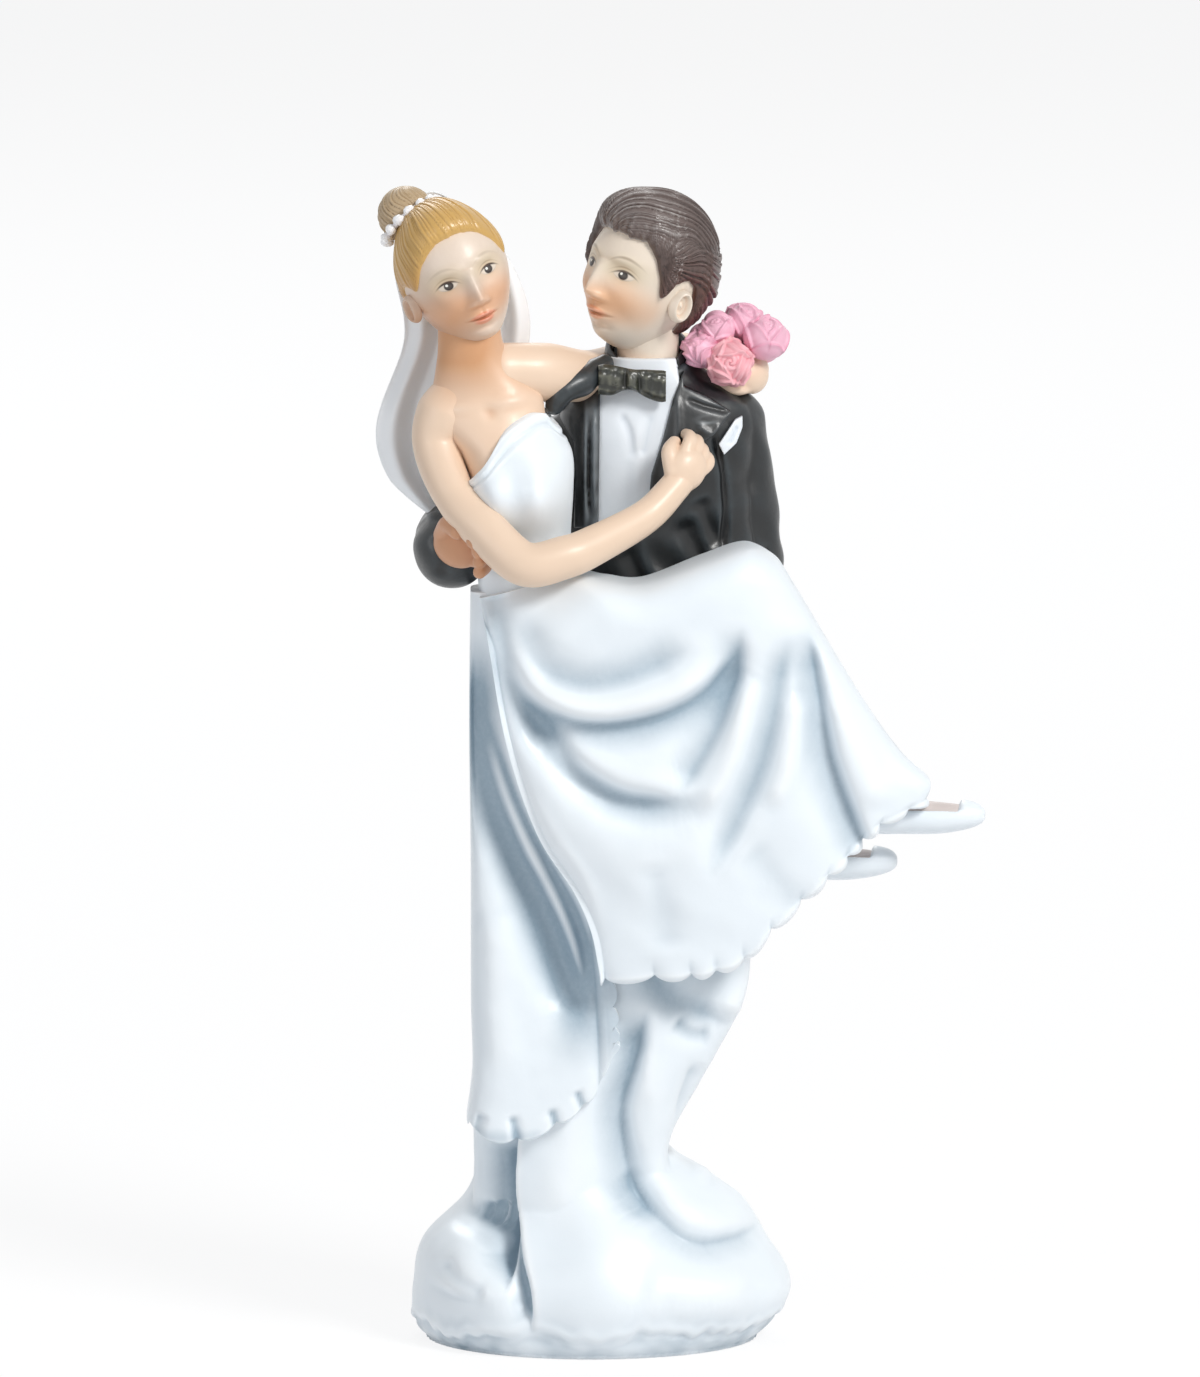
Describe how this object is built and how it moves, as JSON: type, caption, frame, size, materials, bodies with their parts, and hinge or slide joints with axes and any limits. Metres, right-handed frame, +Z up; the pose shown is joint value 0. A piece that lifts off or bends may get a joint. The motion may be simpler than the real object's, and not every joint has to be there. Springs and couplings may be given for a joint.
{
  "type": "wedding cake topper",
  "caption": "Painted cast-resin wedding cake topper: a groom carries a bride in a long draped dress, on a flat-bottomed mound of cloth.",
  "frame": {"origin": "centre of the mound's flat underside, where the topper stands on the cake", "axes": "+Z up along the standing figures, -Y the side that the two faces look out of, +X towards the bride's feet"},
  "size_m": [0.0785, 0.0443, 0.1511],
  "materials": {
    "dress_white": "smooth painted cast resin, satin",
    "suit_black": "smooth painted cast resin, satin to gloss",
    "satin_black": "painted cast resin, gloss with rubbed highlights",
    "bow_olive": "painted cast resin, gloss with rubbed highlights",
    "shirt_white": "smooth painted cast resin, satin",
    "groom_skin": "airbrushed cast resin, soft gloss",
    "bride_skin": "airbrushed cast resin, soft gloss",
    "brown_hair": "dry-brushed cast resin, soft gloss",
    "gold_hair": "dry-brushed cast resin, soft gloss",
    "bun_brown": "dry-brushed cast resin, soft gloss",
    "crystal": "small clear and pearly stones",
    "rose_pink": "soft matt painted cast resin",
    "stem_white": "matt painted cast resin"
  },
  "bodies": {
    "root": {"base_mound": "dress_white", "groom_head": "groom_skin", "groom_hair": "brown_hair", "groom_trousers": "suit_black", "groom_jacket": "suit_black", "groom_shirt_front": "shirt_white", "groom_bow_tie": "bow_olive", "groom_lapel_right": "satin_black", "groom_lapel_left": "satin_black", "groom_pocket_square": "shirt_white", "groom_sleeve_left": "suit_black", "groom_sleeve_right": "suit_black", "bride_head": "bride_skin", "bride_hair": "gold_hair", "bride_hair_bun": "bun_brown", "bride_tiara": "crystal", "bride_torso": "bride_skin", "bride_bodice": "dress_white", "bride_arm_right": "bride_skin", "bride_arm_left": "bride_skin", "groom_hand_right": "groom_skin", "skirt_side_panel": "dress_white", "skirt_train": "dress_white", "bride_foot_left": "bride_skin", "bride_shoe_left": "dress_white", "bride_foot_right": "bride_skin", "bride_shoe_right": "dress_white", "skirt_drape": "dress_white", "bride_veil": "dress_white", "groom_shoe_left": "suit_black", "groom_shoe_right": "suit_black", "bouquet_stem": "stem_white", "bouquet_rose_1": "rose_pink", "bouquet_rose_2": "rose_pink", "bouquet_rose_3": "rose_pink", "bouquet_rose_4": "rose_pink", "bouquet_rose_5": "rose_pink", "bouquet_rose_6": "rose_pink", "bouquet_rose_7": "rose_pink", "bouquet_rose_8": "rose_pink"}
  },
  "joints": []
}
